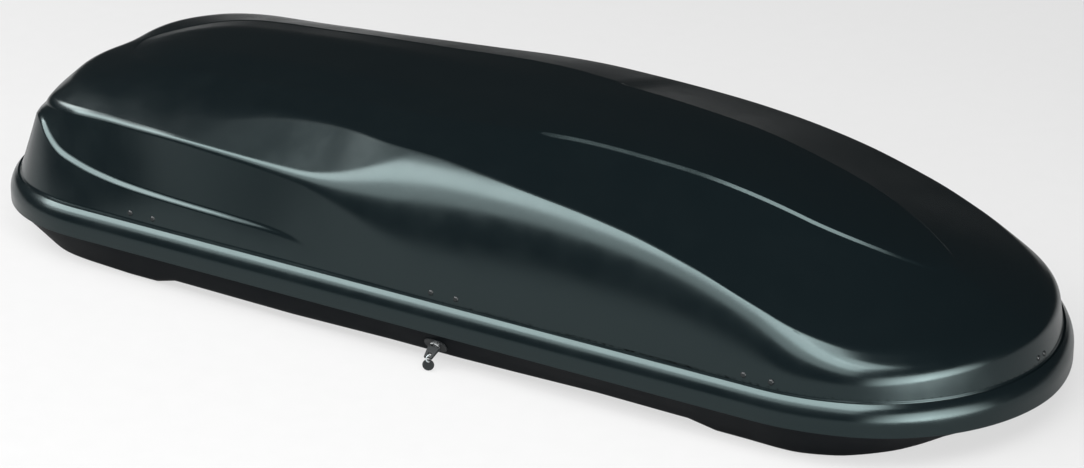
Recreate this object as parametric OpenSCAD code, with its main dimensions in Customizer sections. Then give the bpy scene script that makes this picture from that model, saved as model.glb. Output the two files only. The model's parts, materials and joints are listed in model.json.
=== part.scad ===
// Roof cargo box: a low base shell that clamps to two crossbars, and a long wedge-shaped lid that is
// hinged on the left, propped by two struts and locked by a sliding bar on the right.
// +X points to the nose, +Y to the left (hinge side), +Z up; the bellies of the base stand on Z = 0.

/* [Outline] */
// Length of the lid wall's foot line, nose to tail
foot_l = 1900; // [1860:10:1940]
// Width of the lid wall's foot line
foot_w = 672; // [664:2:680]
// Length of the rounded tail part of the outline
tail_run = 265; // [240:5:280]
// Length of the rounded nose part of the outline
nose_run = 315; // [300:5:330]
// Height of the foot line above the ground
foot_z = 115; // [112:1:118]

/* [Shells] */
// Thickness of both shells
shell_t = 4; // [3.5:0.1:4.5]
// How far the lid's rim stands out from the foot line
rim_out = 19; // [18:0.5:20]
// Height of the rim's lower edge below the foot line
rim_drop = 50; // [49:0.5:51]
// Height of the rim's rounded shoulder
shoulder_h = 24; // [22:0.5:26]
// Depth of the recess for the crossbars between the two bellies
recess_h = 14; // [13:0.5:16]
// How far the base wall would be set in at ground level, beside the lock
base_in = 24; // [21:1:27]

/* [Lid hinge] */
// Length of each hinge
hinge_l = 90; // [70:2:120]
// Radius of the hinge knuckles
knuckle_r = 5; // [4.5:0.1:5.2]
// Radius of the hinge pins
hinge_pin_r = 2; // [1.5:0.1:2.5]

/* [Bar clamps] */
// Distance between the front and rear slot centres
slot_pitch_x = 720; // [700:5:730]
// Distance between the left and right slots
slot_pitch_y = 430; // [400:10:450]
// Overall length of each slot
slot_l = 250; // [230:5:256]
// Width of each slot
slot_w = 10; // [9:0.5:11]
// Distance between the front and rear clamps
clamp_pitch_x = 580; // [540:10:640]
// Radius of the clamp spindles
spindle_r = 4; // [3.5:0.1:4.2]

/* [Lock] */
// Place of the lock along the box
lock_x = 43; // [30:1:44]
// Radius of the key plug
plug_r = 5.5; // [5.2:0.1:6]
// Radius of the lock barrel
barrel_r = 8; // [7.5:0.1:8.5]
// Radius of the circle on which the cam pin runs
cam_r = 18; // [17.5:0.1:18.5]

/* [Struts] */
// Place of the rear strut along the box
rear_strut_x = -600; // [-620:5:-590]
// Place of the front strut along the box
front_strut_x = 330; // [310:5:350]
// Radius of the strut cylinders
strut_r = 9; // [8:0.5:10]
// Radius of the strut rods
rod_r = 4; // [3:0.5:5]

/* [Hidden] */

$fn = 48;
// Radial play of a pin that turns or slides in its bore
fit_play = 0.05;
// Radial play of the lock barrel in its holes
barrel_play = 0.2;
// How far a cutter reaches past the faces it cuts, and a joined block into its neighbour
over = 1;
half_w = foot_w / 2;
half_l = foot_l / 2;

// Colours of the mouldings and the fittings
abs_black = "#1b2124";
nylon_black = "#121415";
zinc_steel = "#b9bdc0";
chrome = "#d8dadc";
alloy = "#9da1a4";
link_grey = "#8d9496";

// Stations along the foot line: where the lid's edges run and how softly they are rounded.
// Each pair is [place along the box, value]; heights are above the foot line, insets are from it.
edge_in = [[-950, 72], [-900, 62], [-840, 50], [-760, 50], [-685, 47], [-600, 39], [-480, 27], [-300, 29],
           [-200, 24], [-100, 18], [0, 13], [100, 10], [200, 9], [300, 8], [400, 8], [500, 7], [600, 6],
           [700, 5], [800, 6], [950, 9]];
edge_z = [[-950, 132], [-900, 131], [-840, 145], [-760, 151], [-685, 154], [-600, 155], [-480, 157],
          [-290, 146], [-200, 145], [-100, 150], [0, 153], [100, 150], [200, 146], [300, 139], [400, 128],
          [500, 110], [600, 84], [700, 55], [800, 41], [950, 40]];
edge_soft = [[-950, 14], [-840, 12], [-700, 10], [-450, 9], [-250, 14], [-180, 30], [-100, 65], [0, 110],
             [100, 130], [200, 132], [300, 128], [400, 118], [500, 100], [600, 72], [700, 38], [800, 22],
             [950, 14]];
crease_in = [[-950, 120], [-840, 118], [-685, 112], [-500, 106], [-400, 112], [-300, 112], [-200, 105],
             [-100, 86], [0, 77], [200, 58], [400, 46], [500, 39], [600, 34], [700, 36], [800, 38],
             [950, 35]];
crease_z = [[-950, 174], [-840, 176], [-685, 181], [-500, 191], [-400, 201], [-300, 208], [-200, 212],
            [-100, 212], [0, 212], [100, 206], [200, 198], [300, 188], [400, 173], [500, 150], [600, 119],
            [700, 87], [800, 66], [950, 53]];
crease_soft = [[-950, 18], [-700, 40], [-450, 30], [-300, 12], [-150, 4], [700, 4], [800, 8], [950, 10]];
// The raised centre panel: its edge as a share of the way from the foot line to the spine
ridge_share = [[-950, 0.66], [-700, 0.6], [-300, 0.58], [-100, 0.55], [0, 0.57], [100, 0.61], [200, 0.645],
               [400, 0.68], [600, 0.72], [800, 0.75], [950, 0.75]];
ridge_soft = [[-950, 14], [-700, 40], [-300, 40], [-100, 24], [50, 8], [200, 5], [600, 5], [750, 10],
              [950, 14]];
ridge_z = [[-800, 181], [-700, 197], [-600, 207], [-500, 213], [-400, 220], [-300, 225], [-200, 229],
           [-100, 233], [0, 237], [100, 238], [200, 237], [300, 231], [400, 221], [500, 202], [600, 176],
           [700, 145], [800, 106], [860, 82]];
spine_z = [[-800, 183], [-720, 202], [-600, 217], [-500, 225], [-400, 231], [-300, 235], [-200, 237],
           [-100, 239], [0, 241], [100, 242], [200, 240], [300, 234], [400, 224], [500, 205], [600, 179],
           [700, 147], [800, 108], [860, 84]];
// The swept ledge on the tail half of the wall: its height, and how far the wall steps in above it
ledge_z = [[-950, 86], [-900, 102], [-855, 117], [-828, 116], [-800, 99], [-763, 81], [-720, 71], [-670, 62],
           [-600, 55], [-480, 51], [-380, 48], [-260, 42], [-160, 22], [-60, 7], [950, 5]];
ledge_in = [[-920, 0], [-840, 4], [-700, 5], [-500, 5], [-380, 4], [-220, 0]];
// How far the tail's wall bulges out at the ledge
ledge_out = [[-950, 9], [-900, 9], [-850, 8], [-790, 4], [-740, 1], [-700, 0]];
ledge_half = 3;
// The line where the base wall would reach the ground: straight runs, level behind the hinges and the lock
base_foot_in = [[-950, base_in + 61], [-850, base_in + 24], [-760, base_in + 9], [-690, base_in + 4],
                [-600, base_in - 3], [-480, base_in - 3], [-250, base_in - 8], [-60, base_in], [80, base_in],
                [180, base_in + 4], [330, base_in + 12], [480, base_in + 9], [600, base_in + 9],
                [690, base_in + 6], [760, base_in + 13], [840, base_in + 32], [900, base_in + 53],
                [950, base_in + 80]];
// How far the foot line dips at the nose; the rim's lower edge dips further by this factor
nose_dip = [[700, 0], [750, 1], [800, 3], [850, 5.3], [900, 8.2], [950, 11.4]];
rim_dip = 1.4;

// Curvature exponents of the tail's and the nose's outline, across and along the box
tail_ex = 0.88;
tail_ey = 0.72;
nose_ex = 0.93;
nose_ey = 1.06;
tail_x = half_l - tail_run;
nose_x = half_l - nose_run;
// Share of its own distance at which a lid rib meets the spine, and the spine's two ends
spine_share = 0.9;
spine_tail_x = 720;
spine_nose_x = 770;
end_ribs = 10;
side_ribs = 19;

// Heights of the rim, the base's ledge and the base's upstand
rim_z = foot_z - rim_drop;
groove = 2;
rim_top_z = foot_z - groove;
flange_z = rim_top_z - shell_t;
sill_gap = 2;
sill_z = rim_z - sill_gap;
upstand_top_z = flange_z - 6;
// Distances out from the foot line
rim_inner = rim_out - shell_t;
// The rim's shoulder as [distance out, depth under the rim's top], and how softly its corners are rounded
shoulder = [[rim_out, shoulder_h], [rim_out - 6, 7], [rim_out - 14, 0]];
shoulder_soft = 7;
// The rim's inner corner as [distance out, depth under the flange]
rim_corner = [[rim_inner, 19], [rim_inner - 3.4, 7.5], [rim_inner - 9, 0]];
sill_out = rim_out - 5;
upstand_out = sill_out - 5;
upstand_in = upstand_out - shell_t;
base_corner_soft = 14;
// Where the floor steps down from the bar recess into the bellies
step_from = 500;
step_to = 545;
recess_top_z = recess_h + shell_t;

// Value at x of the smooth curve through the stations t
function slope(t, i) =
    let (a = max(i - 1, 0), b = min(i + 1, len(t) - 1))
    (t[b][1] - t[a][1]) / (t[b][0] - t[a][0]);
function curve(t, x) =
    x <= t[0][0] ? t[0][1] :
    x >= t[len(t) - 1][0] ? t[len(t) - 1][1] :
    let (i = max([for (k = [0 : len(t) - 2]) if (t[k][0] <= x) k]),
         h = t[i + 1][0] - t[i][0],
         s = (x - t[i][0]) / h,
         a = slope(t, i) * h,
         b = slope(t, i + 1) * h,
         rise = t[i + 1][1] - t[i][1])
    t[i][1] + s * a + s * s * (3 * rise - 2 * a - b) + s * s * s * (a + b - 2 * rise);

// A rib of the right half: [foot x, foot y, outward normal x, outward normal y, x where it meets the spine]
function end_rib(a, dir, x0, ex, ey, s0, s1) =
    let (run = half_l - x0,
         gx = pow(sin(a), 2 - ex) / (ex * run),
         gy = pow(cos(a), 2 - ey) / (ey * half_w),
         g = norm([gx, gy]))
    [dir * (x0 + run * pow(sin(a), ex)), -half_w * pow(cos(a), ey), dir * gx / g, -gy / g,
     dir * (s0 + (s1 - s0) * a / 90)];
function side_rib(x, share) = [x, -half_w, 0, -1, x * share];
function ribs(side_x, share, tail_end, nose_end) = concat(
    [for (i = [0 : end_ribs - 1])
        end_rib(90 - 90 * i / end_ribs, -1, tail_x, tail_ex, tail_ey, tail_x * share, tail_end)],
    [for (x = side_x) side_rib(x, share)],
    [for (i = [1 : end_ribs])
        end_rib(90 * i / end_ribs, 1, nose_x, nose_ex, nose_ey, nose_x * share, nose_end)]
);
lid_ribs = ribs([for (i = [0 : side_ribs]) -tail_x + (nose_x + tail_x) * i / side_ribs],
                spine_share, spine_tail_x, spine_nose_x);
base_side_x = [-tail_x, -600, -step_to, -step_from, -480, -250, -60, 80, 180, 330, 480, step_from, step_to,
               600, nose_x];
base_spine_tail_x = 740;
base_ribs = ribs(base_side_x, 1, base_spine_tail_x, spine_nose_x);

// Length of a rib in plan, and the point on it at inset d (negative is outside the foot line)
function rib_l(q) = norm([q[4] - q[0], q[1]]);
function rib_at(q, d, z) =
    d < 0 ? [q[0] - q[2] * d, q[1] - q[3] * d, z] :
    [q[0] + (q[4] - q[0]) * d / rib_l(q), q[1] * (1 - d / rib_l(q)), z];
function rib_x(q, d) = rib_at(q, d, 0)[0];

// The corner b of a path a, b, c, rounded over the length r with n segments,
// but over no more than the share most of either side
half = 0.48;
nearly_all = 0.94;
function toward(p, q, r, most) = p + (q - p) * min(r / norm(q - p), most);
function rounded(a, b, c, r, n, most = half) =
    let (p = toward(b, a, r, most), q = toward(b, c, r, most))
    [for (i = [0 : n]) let (t = i / n) (1 - t) * (1 - t) * p + 2 * t * (1 - t) * b + t * t * q];
// The corner b of a path a, b, c, moved to the inside of the wall by t
function inward(p, q) = [q[1] - p[1], p[0] - q[0]] / norm(q - p);
function inset(a, b, c, t) =
    let (n = inward(a, b), m = inward(b, c))
    b + t * (n + m) / (1 + n * m);

// Heights on a rib of the foot line's dip, of the rim's lower edge and of the base's sill
function dip(q) = curve(nose_dip, q[0]);
function rim_low(q) = rim_z - rim_dip * dip(q);
function sill(q) = rim_low(q) - sill_gap;

// The bends of a lid rib above the rim as [inset, height]: foot, edge, crease, ridge, crown and spine
function lid_bends(q) =
    let (x = q[0],
         l = rib_l(q),
         d_ridge = curve(ridge_share, x) * l,
         d_crown = (d_ridge + l) / 2)
    [[curve(ledge_in, x), foot_z - dip(q)],
     [curve(edge_in, x), foot_z + curve(edge_z, x)],
     [curve(crease_in, x), foot_z + curve(crease_z, x)],
     [d_ridge, foot_z + curve(ridge_z, rib_x(q, d_ridge))],
     [d_crown, foot_z + curve(spine_z, rib_x(q, d_crown))],
     [l, foot_z + curve(spine_z, q[4])]];
function softness(q) =
    [0, curve(edge_soft, q[0]), curve(crease_soft, q[0]), curve(ridge_soft, q[0]),
     0.35 * (1 - curve(ridge_share, q[0])) * rib_l(q) / 2];
function lid_inner_bends(q) =
    let (b = lid_bends(q))
    concat([[shell_t + b[0][0] / 2, flange_z - dip(q)]],
           [for (i = [1 : 4]) inset(b[i - 1], b[i], b[i + 1], shell_t)],
           [[b[5][0], b[5][1] - shell_t]]);
outer_steps = [0, 6, 3, 2, 2];
inner_steps = [0, 4, 2, 1, 1];
function bend_path(b, soft, steps) =
    concat(rounded(b[0], b[1], b[2], soft[1], steps[1], nearly_all),
           [for (i = [2 : 4]) each rounded(b[i - 1], b[i], b[i + 1], soft[i], steps[i])],
           [b[5]]);
function lid_outer(q) =
    let (b = lid_bends(q),
         step_in = b[0][0],
         foot = b[0][1],
         top = rim_top_z - dip(q),
         lean = (b[1][0] - step_in) / (b[1][1] - foot),
         h = curve(ledge_z, q[0]),
         bulge = curve(ledge_out, q[0]),
         low = [-rim_out, rim_low(q)],
         s = [for (c = shoulder) [-c[0], top - c[1]]])
    concat([low],
           rounded(low, s[0], s[1], shoulder_soft, 2),
           rounded(s[0], s[1], s[2], shoulder_soft, 3),
           [s[2], [-groove, top], [0, foot],
            [lean * (h - ledge_half) - bulge, foot + h - ledge_half],
            [step_in + lean * (h + ledge_half) - bulge, foot + h + ledge_half]],
           bend_path(b, softness(q), outer_steps));
function lid_inner(q) =
    let (top = flange_z - dip(q))
    concat([[-rim_inner, rim_low(q)]], [for (c = rim_corner) [-c[0], top - c[1]]], [lid_inner_bends(q)[0]],
           bend_path(lid_inner_bends(q), softness(q), inner_steps));
// Height of the lid's inner face above the side rib at x, at the distance y from the spine
function under_z(x, y) =
    let (q = side_rib(x, 1))
    lookup(half_w - y, bend_path(lid_inner_bends(q), softness(q), inner_steps));

// The bends of a base rib as [inset, height]: sill, foot of the wall and middle of the floor
function floor_z(q) = abs(q[0]) <= step_from ? recess_h : 0;
function base_bends(q) =
    let (z = floor_z(q), top = sill(q), run = wall_run(q[0]))
    [[-sill_out, top], [run * (top - z) / top - sill_out, z], [rib_l(q), z]];
function base_outer(q) =
    let (b = base_bends(q))
    concat([[-upstand_out, upstand_top_z - dip(q)], [-upstand_out, b[0][1]], b[0]],
           rounded(b[0], b[1], b[2], base_corner_soft, 3), [b[2]]);
function base_inner(q) =
    let (b = base_bends(q),
         n = inward(b[1], b[0]),
         top = b[0] + shell_t * n,
         foot = inset(b[2], b[1], b[0], shell_t),
         z = top[1] + (top[0] + upstand_in) * (top[1] - foot[1]) / (foot[0] - top[0]))
    concat([[-upstand_in, upstand_top_z - dip(q)], [-upstand_in, z]],
           rounded([-upstand_in, z], foot, [b[2][0], b[2][1] + shell_t], base_corner_soft, 2),
           [[b[2][0], b[2][1] + shell_t]]);

// A closed shell through the ribs of the right half and their mirror images
function reversed(list) = [for (i = [len(list) - 1 : -1 : 0]) list[i]];
module rib_shell(half_ribs, outers, inners, flip) {
    n = len(half_ribs) - 1;
    paths = [for (i = [0 : n]) concat(outers[i], reversed(inners[i]))];
    m = len(paths[0]);
    spine = len(outers[0]) - 1;
    points = [for (k = [0 : 2 * n - 1])
        let (i = k <= n ? k : 2 * n - k)
        each [for (p = paths[i])
            let (v = rib_at(half_ribs[i], p[0], p[1]))
            [v[0], (k <= n ? 1 : -1) * v[1], v[2]]]];
    function id(k, j) =
        let (kk = k % (2 * n), jj = j % m)
        (kk > n && (jj == spine || jj == spine + 1) ? 2 * n - kk : kk) * m + jj;
    faces = [for (k = [0 : 2 * n - 1]) for (j = [0 : m - 1]) if (j != spine)
        each [[id(k, j), id(k, j + 1), id(k + 1, j + 1)], [id(k, j), id(k + 1, j + 1), id(k + 1, j)]]];
    polyhedron(points, flip ? [for (f = faces) reversed(f)] : faces, convexity = 6);
}

// A long hole with round ends, centred, along X
module long_hole(l, w, h) {
    for (s = [-1, 1]) translate([s * (l - w) / 2, 0, 0]) cylinder(r = w / 2, h = h);
    translate([-(l - w) / 2, -w / 2, 0]) cube([l - w, w, h]);
}
module at_slots() {
    for (sx = [-1, 1], sy = [-1, 1]) translate([sx * slot_pitch_x / 2, sy * slot_pitch_y / 2, 0]) children();
}

// How far the base wall runs in from its sill down to the ground, and its lean from the horizontal
function wall_run(x) = lookup(x, base_foot_in) + sill_out;
function wall_lean(x) = atan2(sill_z, wall_run(x));
lock_lean = wall_lean(lock_x);
lock_up = 0.6;
lock_y = -(half_w + sill_out - wall_run(lock_x) * (1 - lock_up));
lock_z = sill_z * lock_up;
// Local frame of the lock: +Z out of the wall along the key, +X forward, +Y up the wall
module at_lock() {
    translate([lock_x, lock_y, lock_z]) rotate([180 - lock_lean, 0, 0]) children();
}
// A point of the lock's frame at the distance v up the wall and w out of it, in the Y-Z plane
function lock_yz(v, w) =
    [lock_y - v * cos(lock_lean) - w * sin(lock_lean), lock_z + v * sin(lock_lean) - w * cos(lock_lean)];
// Local frame on the left wall below its sill: +Z out of the wall, +Y down the wall
module at_left_wall(x) {
    translate([x, half_w + sill_out, sill_z]) rotate([180 + wall_lean(x), 0, 0]) children();
}

// Base shell with the slots for the clamps and the hole for the lock
module base_shell() {
    color(abs_black)
    difference() {
        rib_shell(base_ribs, [for (q = base_ribs) base_outer(q)], [for (q = base_ribs) base_inner(q)], true);
        at_slots() translate([0, 0, recess_h - over]) long_hole(slot_l, slot_w, shell_t + 2 * over);
        at_lock() translate([0, 0, -2 * shell_t]) cylinder(r = barrel_r + barrel_play, h = 3 * shell_t);
    }
}

// Steel plates that spread the clamps' load along the slots
plate_t = 2;
plate_margin = 12;
plate_w = 56;
plate_top_z = recess_top_z + plate_t;
module floor_slot_plates() {
    color(zinc_steel)
    at_slots() translate([0, 0, recess_top_z]) difference() {
        translate([-slot_l / 2 - plate_margin, -plate_w / 2, 0])
            cube([slot_l + 2 * plate_margin, plate_w, plate_t]);
        translate([0, 0, -over]) long_hole(slot_l, slot_w, plate_t + 2 * over);
    }
}

// Clamps: a housing on the plate, a knob that turns on it, and a hook that the knob draws up
housing_h = 24;
housing_r = 23;
housing_top_r = 18;
housing_foot = [90, 48, 5];
housing_top_z = plate_top_z + housing_h;
knob_gap = 0.5;
knob_z = housing_top_z + knob_gap;
knob_h = 50;
knob_disc_h = 18;
knob_hub_r = 11;
lobe_r = 9;
lobe_h = knob_disc_h - 2;
disc_bevel = 4;
hub_bevel = 3;
lobe_at = 22;
spindle_top_z = knob_z + knob_h - 5;
hook_z = 2;
hook_t = 7;
hook_w = 30;
hook_reach = 52;
hook_lip = [6, 4];
function clamp_x(sx) = sx * clamp_pitch_x / 2;
function clamp_y(sy) = sy * slot_pitch_y / 2;
module at_clamp(sx, sy) {
    translate([clamp_x(sx), clamp_y(sy), 0]) children();
}
module clamp_housings() {
    color(nylon_black)
    for (sx = [-1, 1], sy = [-1, 1]) at_clamp(sx, sy) translate([0, 0, plate_top_z]) difference() {
        union() {
            translate([-housing_foot[0] / 2, -housing_foot[1] / 2, 0]) cube(housing_foot);
            rotate_extrude() polygon([[0, 0], [housing_r, 0], [housing_r, housing_h / 2],
                                      [housing_top_r, housing_h], [0, housing_h]]);
        }
        translate([0, 0, -over]) cylinder(r = spindle_r + fit_play, h = housing_h + 2 * over);
    }
}
module clamp_knob(sx, sy) {
    color(nylon_black)
    at_clamp(sx, sy) translate([0, 0, knob_z]) difference() {
        union() {
            rotate_extrude() polygon([
                [0, 0], [lobe_at, 0], [lobe_at, knob_disc_h - disc_bevel],
                [lobe_at - disc_bevel, knob_disc_h], [knob_hub_r + hub_bevel, knob_disc_h],
                [knob_hub_r, knob_disc_h + disc_bevel],
                [knob_hub_r, knob_h - hub_bevel], [knob_hub_r - hub_bevel, knob_h], [0, knob_h]]);
            for (a = [0 : 120 : 240]) rotate([0, 0, a]) translate([lobe_at, 0, 0])
                cylinder(r = lobe_r, h = lobe_h);
        }
        translate([0, 0, -over]) cylinder(r = spindle_r + fit_play, h = knob_h - hub_bevel);
    }
}
module clamp_hook(sx, sy) {
    color(zinc_steel)
    at_clamp(sx, sy) {
        translate([0, 0, hook_z + over]) cylinder(r = spindle_r, h = spindle_top_z - hook_z - over);
        translate([0, 0, hook_z]) cylinder(r = hook_w / 2, h = hook_t);
        translate([sx > 0 ? -hook_reach : 0, -hook_w / 2, hook_z]) cube([hook_reach, hook_w, hook_t]);
        translate([sx > 0 ? -hook_reach : hook_reach - hook_lip[0], -hook_w / 2, hook_z])
            cube([hook_lip[0], hook_w, hook_t + hook_lip[1]]);
    }
}

// Lock: an escutcheon and a barrel on the base wall, held by a nut; the plug turns the cam
escutcheon_t = 2;
escutcheon_l = 42;
escutcheon_w = 28;
barrel_in = 30;
collar_r = barrel_r + 1;
collar_h = 2.5;
collar_bevel = 1;
collar_top = escutcheon_t + collar_h;
nut_r = 14;
nut_h = 8;
nut_gap = 1;
stub_r = 5;
stub_l = 5;
plug_top = collar_top - 0.5;
plug_end = -barrel_in - 1;
key_slot = [7.8, 2.8];
key_slot_depth = 26;
cam_t = 3;
cam_gap = 1.5;
cam_pin_r = 3;
cam_hub_r = 9;
cam_arm_r = 5;
cam_z = -barrel_in - cam_gap - cam_t;
tab_t = 3;
tab_gap = 1.5;
tab_z = cam_z - tab_gap - tab_t;
cam_pin_l = tab_gap + tab_t + tab_gap;
unlock_angle = 135;
module lock_escutcheon() {
    color(nylon_black)
    at_lock() difference() {
        long_hole(escutcheon_l, escutcheon_w, escutcheon_t);
        translate([0, 0, -over]) cylinder(r = barrel_r + barrel_play, h = escutcheon_t + 2 * over);
    }
}
module lock_barrel() {
    color(chrome)
    at_lock() rotate_extrude() polygon([
        [plug_r + fit_play, -barrel_in], [barrel_r, -barrel_in], [barrel_r, escutcheon_t],
        [collar_r, escutcheon_t], [collar_r, collar_top - collar_bevel],
        [collar_r - collar_bevel, collar_top], [plug_r + fit_play, collar_top]]);
}
module lock_nut() {
    color(zinc_steel)
    at_lock() translate([0, 0, -shell_t - nut_gap - nut_h]) difference() {
        cylinder(r = nut_r, h = nut_h, $fn = 6);
        translate([0, 0, -over]) cylinder(r = barrel_r, h = nut_h + 2 * over);
    }
}
module lock_plug() {
    color(chrome)
    at_lock() difference() {
        union() {
            translate([0, 0, plug_end]) cylinder(r = plug_r, h = plug_top - plug_end);
            translate([0, 0, plug_end - stub_l]) cylinder(r = stub_r, h = stub_l + over);
        }
        translate([-key_slot[0] / 2, -key_slot[1] / 2, plug_top - key_slot_depth])
            cube([key_slot[0], key_slot[1], key_slot_depth + over]);
    }
}
module lock_cam() {
    color(zinc_steel)
    at_lock() translate([0, 0, cam_z]) rotate([0, 0, unlock_angle]) {
        difference() {
            union() {
                cylinder(r = cam_hub_r, h = cam_t);
                translate([0, -cam_arm_r, 0]) cube([cam_r, 2 * cam_arm_r, cam_t]);
                translate([cam_r, 0, 0]) cylinder(r = cam_arm_r, h = cam_t);
            }
            translate([0, 0, -over]) cylinder(r = stub_r, h = cam_t + 2 * over);
        }
        translate([cam_r, 0, -cam_pin_l]) cylinder(r = cam_pin_r, h = cam_pin_l + over / 2);
    }
}

// Key: a steel blade in the plug and a moulded bow outside it, with a crossbar for the tag's link
blade = [7, 2];
blade_in = 24;
bow_z = collar_top + 0.8;
bow_w = [22, 14];
bow_t = 4;
crossbar_z = 26.5;
crossbar_r = 1.7;
window_w = 7;
window_l = 8;
module key_blade() {
    color(chrome)
    at_lock() translate([-blade[0] / 2, -blade[1] / 2, plug_top - blade_in])
        cube([blade[0], blade[1], blade_in + bow_z - plug_top]);
}
module key_bow() {
    end = crossbar_z + crossbar_r;
    color(nylon_black)
    at_lock() rotate([90, 0, 0]) {
        translate([0, 0, -bow_t / 2]) linear_extrude(bow_t) difference() {
            polygon([[-bow_w[0] / 2, bow_z], [bow_w[0] / 2, bow_z],
                     [bow_w[1] / 2, end], [-bow_w[1] / 2, end]]);
            translate([-window_w / 2, crossbar_z - window_l]) square([window_w, 2 * window_l]);
        }
        translate([-window_w / 2 - over, crossbar_z, 0]) rotate([0, 90, 0])
            cylinder(r = crossbar_r, h = window_w + 2 * over);
    }
}
// Tag: a round disc that hangs from the key's crossbar by a link through its hole
link_r = 5.6;
link_drop = 1.9;
wire_r = 0.9;
tag_r = 9.7;
tag_t = 3;
tag_bevel = 0.8;
tag_turn = 25;
tag_hole_r = 2.3;
tag_rim = 1.6;
crossbar = lock_yz(0, crossbar_z);
link_z = crossbar[1] - link_drop;
tag_hole_z = link_z - link_r;
tag_z = tag_hole_z + tag_hole_r + tag_rim - tag_r;
module key_link() {
    color(link_grey)
    translate([lock_x, crossbar[0], link_z]) rotate([0, 90, 0])
        rotate_extrude($fn = 32) translate([link_r, 0]) circle(r = wire_r, $fn = 14);
}
module key_tag() {
    color(nylon_black)
    translate([lock_x, crossbar[0], tag_z]) rotate([90, 0, tag_turn]) difference() {
        rotate_extrude() polygon([
            [0, -tag_t / 2], [tag_r - tag_bevel, -tag_t / 2], [tag_r, tag_bevel - tag_t / 2],
            [tag_r, tag_t / 2 - tag_bevel], [tag_r - tag_bevel, tag_t / 2], [0, tag_t / 2]]);
        translate([0, tag_hole_z - tag_z, -tag_t]) cylinder(r = tag_hole_r, h = 2 * tag_t);
    }
}

// Lock bar: a strip behind the right upstand whose tongues enter the strikers' notches
bar_y = -half_w + 1;
bar_t = 3;
bar_z = [sill_z + 8, sill_z + 30];
bar_x = [-620, 640];
tongue_l = 19;
tongue_w = 10;
tongue_z = [bar_z[0] + 11, bar_z[0] + 15];
tongue_shift = 1;
striker_x = [-555, 58, 632];
rivet_pitch = 48;
rivet_up = 12;
tab_half = 7;
pin_slot_half = cam_pin_r + 0.95;
// The cam pin climbs the wall by this share of its circle's radius over a quarter turn
pin_climb = 1 - cos(45);
pin_slot_l = 2 * pin_slot_half + cam_r * pin_climb + 1.6;
pin_x = lock_x + cam_r * cos(unlock_angle);
tab_low = 8;
tab_high = 26;
tab_top_z = lock_yz(tab_high, tab_z + tab_t)[1];
module lock_bar() {
    color(zinc_steel) {
        translate([bar_x[0], bar_y - bar_t, bar_z[0]])
            cube([bar_x[1] - bar_x[0], bar_t, bar_z[1] - bar_z[0]]);
        for (x = striker_x) translate([x - tongue_w / 2 + tongue_shift, bar_y - over, tongue_z[0]])
            cube([tongue_w, tongue_l + over, tongue_z[1] - tongue_z[0]]);
        difference() {
            translate([pin_x - tab_half, 0, 0]) rotate([90, 0, 90]) linear_extrude(2 * tab_half)
                polygon([lock_yz(tab_low, tab_z), lock_yz(tab_low, tab_z + tab_t),
                         lock_yz(tab_high, tab_z + tab_t), [bar_y - over, tab_top_z],
                         [bar_y - over, tab_top_z + tab_t],
                         [lock_yz(tab_high, tab_z)[0], tab_top_z + tab_t]]);
            at_lock() translate([pin_x - lock_x, cam_r * (1 - pin_climb / 2), tab_z - 2 * over])
                rotate([0, 0, 90]) long_hole(pin_slot_l, 2 * pin_slot_half, tab_t + 4 * over);
        }
    }
}
// Clips that hold the lock bar to the upstand
guide_x = [-440, -180, 220, 470];
guide_w = 24;
guide_gap = 0.5;
guide_t = 2.5;
guide_lip = 4;
module bar_guides() {
    y0 = half_w + upstand_in;
    y1 = bar_t - bar_y + guide_gap;
    y2 = -bar_y - guide_gap;
    y3 = y2 - guide_t;
    top = bar_z[1] + guide_gap;
    low = bar_z[0] - guide_gap;
    color(nylon_black)
    for (x = guide_x) translate([x + guide_w / 2, 0, 0]) rotate([90, 0, -90]) linear_extrude(guide_w)
        polygon([[y0, low - guide_t], [y3, low - guide_t], [y3, low + guide_lip], [y2, low + guide_lip],
                 [y2, low], [y1, low], [y1, top], [y2, top],
                 [y2, top - guide_lip], [y3, top - guide_lip], [y3, top + guide_t], [y0, top + guide_t]]);
}
// Strikers: plates hung from the lid's right wall, each with a notch for a tongue of the bar
striker_y = -half_w + 14;
striker_t = 2.5;
striker_z = [tongue_z[0] - 10, flange_z - 7, foot_z + 25];
striker_top_x = [-34, 40];
striker_tail_x = [8, 40];
notch_l = 25;
notch_play = 2;
notch_z = [tongue_z[0] - notch_play, tongue_z[1] + notch_play];
module strikers() {
    color(zinc_steel)
    for (x = striker_x) translate([x, striker_y + striker_t, 0]) rotate([90, 0, 0]) linear_extrude(striker_t)
        polygon([[striker_tail_x[0], striker_z[0]], [striker_tail_x[1], striker_z[0]],
                 [striker_tail_x[1], striker_z[2]], [striker_top_x[0], striker_z[2]],
                 [striker_top_x[0], striker_z[1]], [striker_tail_x[0], striker_z[1]],
                 [striker_tail_x[0], notch_z[1]], [striker_tail_x[0] + notch_l, notch_z[1]],
                 [striker_tail_x[0] + notch_l, notch_z[0]], [striker_tail_x[0], notch_z[0]]]);
}

// Rivets with domed heads: three pairs in the right wall, one pair in the nose and those of the hinges
head_r = 5;
head_h = 3.4;
shank_r = 2.2;
washer_r = 4;
washer_t = 1.5;
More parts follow.
